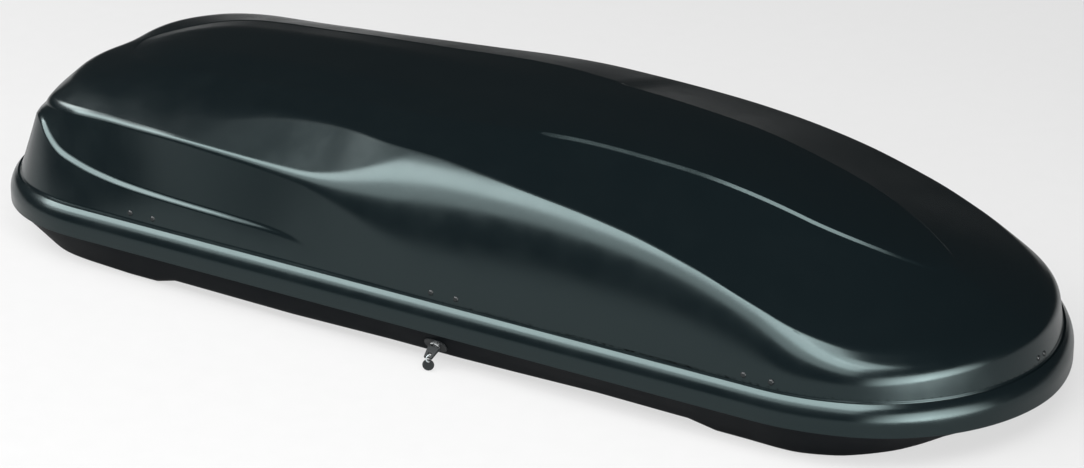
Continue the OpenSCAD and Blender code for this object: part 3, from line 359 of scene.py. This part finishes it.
def smooth_by_angle(bm, sharp_deg):
    """Shades all faces smooth and keeps an edge sharp where its faces bend by more than the angle."""
    for face in bm.faces:
        face.smooth = True
    for edge in bm.edges:
        edge.smooth = len(edge.link_faces) == 2 and edge.calc_face_angle(0) < math.radians(sharp_deg)


lid_skin = skin("lid_skin", lid_ribs, lid_outer, lid_inner, LID_SHARP_DEG)
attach(lid_skin, "lid")
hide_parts("lid_shell")
print("lid skin:", len(lid_skin.data.polygons), "faces")

# %% [markdown]
# ## The base
# The base is the same kind of skin: an upstand behind the lid's rim, a sill, a wall that leans in and a
# floor with two bellies. Between the bellies the floor is raised to make room for the roof bars.


# %% Profiles of the base, and its skin
SILL_OUT, UPSTAND_OUT, SILL_GAP, CORNER_SOFT = RIM_OUT - 5, RIM_OUT - 10, 2, 14
SILL_LIP, SILL_SOFT, UPSTAND_DROP, BASE_SHARP_DEG = 1.5, 1.2, 6, 40


def base_bends(rib):
    """Sill, foot of the wall and middle of the floor as (inset, height)."""
    floor = RECESS_H if abs(rib[0]) <= STEP_FROM + 1 else 0
    if STEP_FROM + 1 < abs(rib[0]) < STEP_TO - 1:
        floor = RECESS_H * (STEP_TO - abs(rib[0])) / (STEP_TO - STEP_FROM)
    sill = RIM_Z - SILL_GAP - LIP_DIP * station("nose_dip", rib[0])
    run = ground_in(rib[0]) + SILL_OUT
    return [(-SILL_OUT, sill), (run * (sill - floor) / sill - SILL_OUT, floor), (rib_length(rib), floor)]


def upstand_top(rib):
    """Height of the upstand, which ends below the lid's flange."""
    return FOOT_Z - BEAD_MM - SHELL_T - UPSTAND_DROP - station("nose_dip", rib[0])


def base_outer(rib):
    """Path down the outside of the base, from the upstand to the middle of the floor."""
    b = base_bends(rib)
    lip = (-SILL_OUT + SILL_LIP, b[0][1])
    return ([(-UPSTAND_OUT, upstand_top(rib)), (-UPSTAND_OUT, b[0][1]), lip]
            + rounded(lip, b[0], b[1], SILL_SOFT, 3)
            + rounded(b[0], b[1], b[2], CORNER_SOFT, 6) + [b[2]])


def base_inner(rib):
    """Path down the inside of the base, one sheet's thickness in."""
    b = base_bends(rib)
    n = Vector((b[0][1] - b[1][1], b[1][0] - b[0][0])).normalized()
    lip, foot = Vector(b[0]) + n * SHELL_T, inside(b[2], b[1], b[0], SHELL_T)
    back = -UPSTAND_OUT + SHELL_T
    z = lip[1] + (lip[0] - back) * (lip[1] - foot[1]) / (foot[0] - lip[0])
    middle = (b[2][0], b[2][1] + SHELL_T)
    path = [(back, upstand_top(rib)), (back, z)]
    return path + rounded((back, z), foot, middle, CORNER_SOFT, 4) + [middle]


base_side = [-TAIL_X, -640, -600, -STEP_TO, -STEP_FROM, -480, -365, -250, -155, -60, 80, 180, 255, 330,
             405, 480, STEP_FROM, STEP_TO, 600, NOSE_X]
BASE_SPINE_TAIL = SPINE_TAIL + 20
base_ribs = half_ribs(base_side, 1, BASE_SPINE_TAIL, SPINE_NOSE)
base_skin = skin("base_skin", base_ribs, base_outer, base_inner, BASE_SHARP_DEG)
print("base skin:", len(base_skin.data.polygons), "faces before its holes")

# %% [markdown]
# ## Slots and the lock's hole
# The floor has four long slots for the clamps, and the wall has a round hole for the lock. A skin made of
# ribs can't have a hole, so closed cutters are made and taken away with a boolean. Its result is stored
# in the mesh, and the cutters are deleted.


# %% Where the lock sits, and the cutters
def long_hole(bm, at, length, width, low, high, sides=24):
    """Adds a closed prism with round ends, along X, as a cutter."""
    outline = []
    for way in (1, -1):
        for i in range(sides + 1):
            a = -math.pi / 2 + math.pi * i / sides + (0 if way > 0 else math.pi)
            centre = at[0] + way * (length - width) / 2
            outline.append((centre + width / 2 * math.cos(a), at[1] + width / 2 * math.sin(a)))
    rings = [[bm.verts.new((x / 1000, y / 1000, z / 1000)) for x, y in outline] for z in (low, high)]
    bm.faces.new(rings[0][::-1])
    bm.faces.new(rings[1])
    for i in range(len(outline)):
        j = (i + 1) % len(outline)
        bm.faces.new((rings[0][i], rings[0][j], rings[1][j], rings[1][i]))


SLOT_AT, SLOT_L, SLOT_W, CUT_BELOW, CUT_ABOVE = (360, 215), 250, 10, 4, 10
LOCK_X, LOCK_UP, BARREL_R, HOLE_PLAY, HOLE_DEPTH = 43, 0.6, 8, 0.2, 30
sill_z = RIM_Z - SILL_GAP
wall_run = ground_in(LOCK_X) + SILL_OUT
lock_at = Vector((LOCK_X, -(HALF_W + SILL_OUT - wall_run * (1 - LOCK_UP)), sill_z * LOCK_UP)) / 1000
lock_out = Vector((0, -sill_z, -wall_run)).normalized()

bm = bmesh.new()
for sx in (-1, 1):
    for sy in (-1, 1):
        slot_at = (sx * SLOT_AT[0], sy * SLOT_AT[1])
        long_hole(bm, slot_at, SLOT_L, SLOT_W, RECESS_H - CUT_BELOW, RECESS_H + CUT_ABOVE)
hole_r, hole_depth = (BARREL_R + HOLE_PLAY) / 1000, HOLE_DEPTH / 1000
hole_turn = lock_out.to_track_quat("Z", "Y").to_matrix().to_4x4()
bmesh.ops.create_cone(bm, cap_ends=True, segments=40, radius1=hole_r, radius2=hole_r, depth=hole_depth,
                      matrix=Matrix.Translation(lock_at) @ hole_turn)
bmesh.ops.recalc_face_normals(bm, faces=bm.faces)
cutter_mesh = bpy.data.meshes.new("base_cutters")
bm.to_mesh(cutter_mesh)
bm.free()
cutter = bpy.data.objects.new("base_cutters", cutter_mesh)
bpy.context.scene.collection.objects.link(cutter)
print("cutters:", len(cutter_mesh.polygons), "faces; lock at", [round(v, 4) for v in lock_at])

# %% Cut the base
cut = base_skin.modifiers.new("holes", "BOOLEAN")
cut.operation, cut.solver, cut.object = "DIFFERENCE", "EXACT", cutter
bpy.context.view_layer.update()
holed = bpy.data.meshes.new_from_object(base_skin.evaluated_get(bpy.context.evaluated_depsgraph_get()))
base_skin.modifiers.clear()
base_skin.data = holed
bm = bmesh.new()
bm.from_mesh(holed)
smooth_by_angle(bm, BASE_SHARP_DEG)
bm.to_mesh(holed)
bm.free()
bpy.data.objects.remove(cutter)
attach(base_skin, "base")
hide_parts("base_shell")
print("base skin:", len(base_skin.data.polygons), "faces with its holes")

# %% [markdown]
# ## The weather seal
# A rubber cord sits on the upstand of the base, and the lid's flange rests just above it. The solids
# leave it out, but it shows as soon as the lid is open. It could be lofted like the shells, but a curve
# with a round bevel that follows the upstand is shorter. The curve is turned into a mesh at the end.

# %% The seal along the upstand
SEAL_R, SEAL_UP, SEAL_SIDE, SEAL_END = 2.1, 1.9, 24, 20
seal_curve = bpy.data.curves.new("rim_seal", "CURVE")
seal_curve.dimensions, seal_curve.bevel_depth, seal_curve.bevel_resolution = "3D", SEAL_R / 1000, 3
seal_x = [-TAIL_X + (NOSE_X + TAIL_X) * i / SEAL_SIDE for i in range(SEAL_SIDE + 1)]
ring = [rib_point(rib, -UPSTAND_OUT + SHELL_T / 2, upstand_top(rib) + SEAL_UP)
        for rib in half_ribs(seal_x, 1, SPINE_TAIL, SPINE_NOSE, SEAL_END)]
ring += [(x, -y, z) for x, y, z in ring[-2:0:-1]]
line = seal_curve.splines.new("POLY")
line.points.add(len(ring) - 1)
line.use_cyclic_u = True
for point, (x, y, z) in zip(line.points, ring):
    point.co = (x / 1000, y / 1000, z / 1000, 1)
seal_raw = bpy.data.objects.new("rim_seal_curve", seal_curve)
bpy.context.scene.collection.objects.link(seal_raw)
bpy.context.view_layer.update()
seal_mesh = bpy.data.meshes.new_from_object(seal_raw.evaluated_get(bpy.context.evaluated_depsgraph_get()))
bpy.data.objects.remove(seal_raw)
seal = bpy.data.objects.new("rim_seal", seal_mesh)
bpy.context.scene.collection.objects.link(seal)
seal_mesh.shade_smooth()
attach(seal, "base")
print("seal:", len(seal_mesh.polygons), "faces")

# %% [markdown]
# ## Finishes
# Every finish starts from one small helper that adds a node, sets it and links it. Colours are written as
# they look on a screen and turned to linear light by one function. Patterns use object coordinates, which
# are metres here, so the scale of a noise of a given grain is one over that grain in metres.


# %% Helpers for the finishes
def linear(hex_colour):
    """sRGB hex to linear RGBA."""
    parts = [int(hex_colour[i:i + 2], 16) / 255 for i in (1, 3, 5)]
    return tuple(p / 12.92 if p <= 0.04045 else ((p + 0.055) / 1.055) ** 2.4 for p in parts) + (1.0,)


def add(tree, kind, inputs=None, **settings):
    """Adds one node: settings are its properties, inputs are values or output sockets by name or number."""
    node = tree.nodes.new(kind)
    for name, value in settings.items():
        setattr(node, name, value)
    for name, value in (inputs or {}).items():
        if isinstance(value, bpy.types.NodeSocket):
            tree.links.new(value, node.inputs[name])
        else:
            node.inputs[name].default_value = value
    return node


def new_finish(name, colour, **sockets):
    """A material with one Principled shader whose uniform values are set on its own sockets."""
    material = bpy.data.materials.new(name)
    material.use_nodes = True
    shader = material.node_tree.nodes["Principled BSDF"]
    shader.inputs["Base Color"].default_value = linear(colour)
    for socket, value in sockets.items():
        shader.inputs[socket.replace("_", " ")].default_value = value
    return material, material.node_tree, shader


def per_mm(grain):
    """Texture scale for a grain of that many millimetres, in object coordinates of metres."""
    return 1000 / grain


finishes = {}
print("a mid grey in linear light:", [round(v, 4) for v in linear("#808080")[:3]])

# %% [markdown]
# ## ABS, thermoformed
# The lid is a sheet of ABS with a satin cap layer, drawn over a mould. It mirrors a lamp softly, and its
# surface is very slightly wavy, as any drawn sheet is, so a highlight's edge wanders a little. Its
# highlights are faintly blue green, so the specular tint takes some red out of them. The mirror's
# strength is set a little under the usual 0.5, matched to the highlights under these lamps. The grain of
# the sheet is about 0.3 mm, too fine to show here, so it is drawn at 2 mm and kept faint. The base is the
# same sheet with its grained side out: duller, with a pebble of about 1 mm, drawn at 3 mm.

# %% Satin ABS of the lid and grained ABS of the base
# Waves of the drawn sheet, and patches dulled by handling
WAVE_MM, HANDLING_MM = 140, 60
for slot, title, colour, rough, gloss, grain, depth, wave in (
        # Soft, deep mirror on black: bright bands that fade slowly
        ("lid_abs", "thermoformed satin ABS", "#060b0d", 0.21, 0.36, 2.0, 0.012, 0.06),
        # Nearly no mirror: an even dull black
        ("base_abs", "thermoformed grained ABS", "#07090c", 0.45, 0.03, 3.0, 0.05, 0.05)):
    material, tree, shader = new_finish(title, colour, Roughness=rough, IOR=1.53, Specular_IOR_Level=gloss,
                                        Specular_Tint=(0.76, 1.0, 1.0, 1.0))
    where = add(tree, "ShaderNodeTexCoord").outputs["Object"]
    pebble = add(tree, "ShaderNodeTexNoise", {"Vector": where, "Scale": per_mm(grain), "Detail": 2.0})
    sway = add(tree, "ShaderNodeTexNoise", {"Vector": where, "Scale": per_mm(WAVE_MM), "Detail": 1.0})
    handling = add(tree, "ShaderNodeTexNoise", {"Vector": where, "Scale": per_mm(HANDLING_MM),
                                                "Detail": 5.0, "Roughness": 0.6})
    spread = add(tree, "ShaderNodeMapRange", {"Value": handling.outputs["Fac"], "From Min": 0.35,
                                              "From Max": 0.65, "To Min": rough - 0.025,
                                              "To Max": rough + 0.03})
    tree.links.new(spread.outputs["Result"], shader.inputs["Roughness"])
    soft = add(tree, "ShaderNodeBump", {"Height": sway.outputs["Fac"], "Strength": wave, "Distance": 0.004})
    fine = add(tree, "ShaderNodeBump", {"Height": pebble.outputs["Fac"], "Strength": depth,
                                        "Distance": 0.001, "Normal": soft.outputs["Normal"]})
    tree.links.new(fine.outputs["Normal"], shader.inputs["Normal"])
    finishes[slot] = material
print("shell finishes:", [m.name for m in finishes.values()])

# %% [markdown]
# ## Nylon, lacquer and rubber
# Knobs, housings and clips are moulded glass filled nylon: deep black and dull, with a fine spark eroded
# texture of about 0.5 mm, drawn at 1.2 mm. Rivet heads and strut tubes are lacquered steel, smoother and
# with a tight highlight. The link of the key's tag is grey polypropylene. The seal is EPDM rubber, the
# dullest of them.

# %% Nylon, lacquered steel and EPDM
for slot, title, colour, rough, grain, depth in (
        # A dry black with a fine sparkle of texture
        ("nylon", "moulded glass filled nylon", "#141718", 0.52, 1.2, 0.12),
        # A small tight glint on each dome
        ("black_rivet", "black lacquered steel rivet", "#131617", 0.26, 1.0, 0.02),
        # One long narrow highlight
        ("strut_black", "black lacquered steel tube", "#151617", 0.22, 1.5, 0.015),
        # A plain pale spot under the lock
        ("link_plastic", "moulded grey polypropylene", "#8d9496", 0.38, 1.0, 0.03),
        # Soft grey black without a highlight
        ("seal", "extruded EPDM rubber", "#1b1d1e", 0.78, 1.5, 0.10)):
    material, tree, shader = new_finish(title, colour, Roughness=rough, IOR=1.5, Specular_IOR_Level=0.3)
    where = add(tree, "ShaderNodeTexCoord").outputs["Object"]
    texture = add(tree, "ShaderNodeTexNoise", {"Vector": where, "Scale": per_mm(grain), "Detail": 3.0})
    spread = add(tree, "ShaderNodeMapRange", {"Value": texture.outputs["Fac"], "To Min": rough - 0.05,
                                              "To Max": rough + 0.05})
    tree.links.new(spread.outputs["Result"], shader.inputs["Roughness"])
    bump = add(tree, "ShaderNodeBump", {"Height": texture.outputs["Fac"], "Strength": depth,
                                        "Distance": 0.0006})
    tree.links.new(bump.outputs["Normal"], shader.inputs["Normal"])
    finishes[slot] = material
print("plastic, lacquer and rubber finishes:", len(finishes) - 2)

# %% [markdown]
# ## Metals
# Pressed parts are zinc plated steel: pale grey with a faint crystal cloud of a few millimetres. The
# lid's edge rails are mill finish aluminium with draw lines along their length, so their noise is
# stretched along X. The lock's collar, the key's blade and the strut rods are bright chrome over a
# polished bar, nearly a mirror. The key plug is a black oxided casting that shows only as a dark disc
# inside the bright collar.

# %% Zinc, aluminium, chrome and the oxided plug
for slot, title, colour, rough, size_mm in (
        # Pale and cloudy, with a blurred mirror
        ("zinc_steel", "zinc plated pressed steel", "#b9bdc0", 0.34, (3, 3, 3)),
        # Fine streaks along the rail
        ("aluminium", "mill finish drawn aluminium", "#c2c4c5", 0.38, (60, 0.8, 0.8)),
        # Sharp white and black reflections
        ("chrome", "polished chrome plate", "#dfe1e2", 0.09, (8, 8, 8)),
        # A dark metal disc inside the collar
        ("plug_oxide", "black oxided casting", "#1a1b1c", 0.36, (1.5, 1.5, 1.5))):
    material, tree, shader = new_finish(title, colour, Metallic=1.0, Roughness=rough)
    where = add(tree, "ShaderNodeTexCoord").outputs["Object"]
    scaled = add(tree, "ShaderNodeMapping", {"Vector": where, "Scale": tuple(per_mm(s) for s in size_mm)})
    cloud = add(tree, "ShaderNodeTexNoise", {"Vector": scaled.outputs["Vector"], "Scale": 1.0,
                                             "Detail": 3.0})
    spread = add(tree, "ShaderNodeMapRange", {"Value": cloud.outputs["Fac"], "To Min": rough * 0.75,
                                              "To Max": rough * 1.25})
    tree.links.new(spread.outputs["Result"], shader.inputs["Roughness"])
    pale, deep = [tuple(c * k for c in linear(colour)[:3]) + (1.0,) for k in (1.06, 0.90)]
    # In a Mix node for colours, inputs 6 and 7 are the two colours, and output 2 is the result
    tint = add(tree, "ShaderNodeMix", {0: cloud.outputs["Fac"], 6: deep, 7: pale}, data_type="RGBA")
    tree.links.new(tint.outputs[2], shader.inputs["Base Color"])
    finishes[slot] = material
print("metal finishes:", [m.name for m in list(finishes.values())[-4:]])

# %% [markdown]
# ## Dressing the solids
# Each solid has a slot in the record that names its finish; only the lock's plug has a finish of its own.
# The new skins and the seal get theirs here too. Replacing a solid's material doesn't change its shape.

# %% Give every piece its finish
slot_of = {part["node"]: part["material_slot"] for part in frame["record"]["subparts"]}
slot_of["lock_plug"] = "plug_oxide"
dressed = [(nodes[name], slot) for name, slot in slot_of.items()]
dressed += [(lid_skin, "lid_abs"), (base_skin, "base_abs"), (seal, "seal")]
for piece, slot in dressed:
    piece.data.materials.clear()
    piece.data.materials.append(finishes[slot])
    for face in piece.data.polygons:
        face.material_index = 0
print("dressed:", len(dressed), "pieces with", len(finishes), "finishes")

# %% [markdown]
# ## The floor
# The box stands on plain paper that runs out of the picture, and the paper takes its soft shadow. Part of
# what the camera sees of the paper is a glow, mixed in with the Light Path node, so that the background
# is pale without more light on the box. Mirrored rays see a much smaller share of the glow, so that the
# black walls, which mirror the floor, stay dark.

# %% The paper floor
FLOOR_HALF, FLOOR_Z, PAPER_CLOUD_MM = 20, -0.0005, 40
SEEN_GLOW, MIRRORED_GLOW = 0.65, 0.1
floor_mesh = bpy.data.meshes.new("floor")
corners = [(x * FLOOR_HALF, y * FLOOR_HALF, FLOOR_Z) for x, y in ((-1, -1), (1, -1), (1, 1), (-1, 1))]
floor_mesh.from_pydata(corners, [], [(0, 1, 2, 3)])
floor = bpy.data.objects.new("floor", floor_mesh)
bpy.context.scene.collection.objects.link(floor)
floor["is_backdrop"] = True
# Even and dull, with the faintest cloud; fibres are far too fine to show, so the cloud is drawn at 40 mm
material, tree, shader = new_finish("matte pressed paper", "#8f8f8f", Roughness=0.9, Specular_IOR_Level=0.1)
where = add(tree, "ShaderNodeTexCoord").outputs["Object"]
fibre = add(tree, "ShaderNodeTexNoise", {"Vector": where, "Scale": per_mm(PAPER_CLOUD_MM), "Detail": 3.0})
paper = add(tree, "ShaderNodeMix", {0: fibre.outputs["Fac"], 6: linear("#8b8b8b"), 7: linear("#939393")},
            data_type="RGBA")
tree.links.new(paper.outputs[2], shader.inputs["Base Color"])
ray = add(tree, "ShaderNodeLightPath")
mirrored = add(tree, "ShaderNodeMath", {0: ray.outputs["Is Glossy Ray"],
                                        1: ray.outputs["Is Transmission Ray"]}, operation="MAXIMUM")
mirrored = add(tree, "ShaderNodeMath", {0: mirrored.outputs[0], 1: MIRRORED_GLOW}, operation="MULTIPLY")
seen = add(tree, "ShaderNodeMath", {0: ray.outputs["Is Camera Ray"], 1: SEEN_GLOW}, operation="MULTIPLY")
share = add(tree, "ShaderNodeMath", {0: seen.outputs[0], 1: mirrored.outputs[0]}, operation="MAXIMUM")
glow = add(tree, "ShaderNodeEmission", {"Color": (1, 1, 1, 1), "Strength": 1.0})
both = add(tree, "ShaderNodeMixShader", {0: share.outputs[0], 1: shader.outputs[0], 2: glow.outputs[0]})
tree.links.new(both.outputs[0], tree.nodes["Material Output"].inputs["Surface"])
floor_mesh.materials.append(material)
print("floor:", [round(v, 1) for v in floor.dimensions])

# %% [markdown]
# ## The light
# Black plastic shows little of its own colour. What the eye reads is the room in it, so the lamps are
# placed by what each face mirrors. A long soft box hangs beside the near side, above head height, and is
# mirrored by the swept band and by the rolled rim. Flaps below and above it carry its light on, so that
# the highlight fades at its edges. A soft box behind the tail draws the edges there. A low board with a
# narrow spread gives the nose its pale rim and lights little of the floor; the spread gathers its power,
# so ahead it is brighter than its number. The rest of the room is dim, so that the top panels stay black.
# Each lamp is written with the brightness of its face, and its power follows from its area.

# %% A dim room and six soft lamps
ROOM_STRENGTH = 0.03
world = bpy.context.scene.world or bpy.data.worlds.new("studio")
bpy.context.scene.world = world
world.use_nodes = True
tree = world.node_tree
tree.nodes.clear()
room = add(tree, "ShaderNodeBackground", {"Color": (1, 1, 1, 1), "Strength": ROOM_STRENGTH})
add(tree, "ShaderNodeOutputWorld", {"Surface": room.outputs[0]})

# Name, place, aim, width, height, brightness of the face, spread in degrees
for name, place, target, width, height, radiance, spread in (
        ("near_softbox", (-1.2, -1.8, 2.35), (-1.2, 0.0, 0.2), 7.0, 1.0, 13.0, 180),
        ("near_low_flap", (-1.2, -2.35, 1.67), (-1.2, 0.0, 0.2), 7.0, 0.8, 4.3, 180),
        ("front_high_flap", (1.3, -1.1, 2.8), (1.3, 0.0, 0.2), 2.4, 0.9, 9.4, 180),
        ("rear_high_flap", (-2.3, -0.45, 2.95), (-2.3, 0.0, 0.2), 4.4, 1.6, 0.6, 180),
        ("tail_softbox", (-3.2, -0.4, 2.2), (0.0, 0.0, 0.2), 1.8, 1.0, 11.5, 180),
        ("nose_board", (2.1, -0.7, 0.36), (0.0, 0.0, 0.4), 3.0, 0.7, 2.8, 70)):
    lamp = bpy.data.lights.new(name, "AREA")
    lamp.shape, lamp.size, lamp.size_y = "RECTANGLE", width, height
    lamp.energy = radiance * math.pi * width * height
    lamp.spread = math.radians(spread)
    obj = bpy.data.objects.new(name, lamp)
    obj.location = place
    obj.rotation_euler = (Vector(place) - Vector(target)).to_track_quat("Z", "Y").to_euler()
    bpy.context.scene.collection.objects.link(obj)
bpy.context.scene.view_settings.view_transform = "Standard"

# %% [markdown]
# ## The camera
# The photograph's angle was measured from the outline: the camera looks down by about 23 degrees from the
# right of the nose, through a long lens. A small lens shift frames the box as in the picture.

# %% The camera of the photograph
AZIMUTH, ELEVATION, DISTANCE = math.radians(32.741), math.radians(22.716), 6.0059
LENS_MM, SENSOR_MM, SHIFT, LOOK_AT = 118.79, 36, (0.0147, -0.0063), (0, 0, 0.115)
level = math.cos(ELEVATION)
back = Vector((math.sin(AZIMUTH) * level, -math.cos(AZIMUTH) * level, math.sin(ELEVATION)))
camera_data = bpy.data.cameras.new("camera")
camera_data.sensor_fit, camera_data.sensor_width, camera_data.lens = "HORIZONTAL", SENSOR_MM, LENS_MM
camera_data.shift_x, camera_data.shift_y = SHIFT
camera = bpy.data.objects.new("camera", camera_data)
camera.location = Vector(LOOK_AT) + back * DISTANCE
camera.rotation_euler = (math.pi / 2 - ELEVATION, 0, AZIMUTH)
bpy.context.scene.collection.objects.link(camera)
bpy.context.scene.camera = camera
print("camera at", [round(v, 3) for v in camera.location])

# %% [markdown]
# ## Measuring the result
# The dressed model must still fill the box of the solids it stands for, so both boxes are printed.

# %% Print both boxes
seen_box = [list(corner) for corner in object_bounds()]
for title, box in (("CAD box", cad_box), ("seen box", seen_box)):
    print(title, [[round(v, 4) for v in corner] for corner in box])
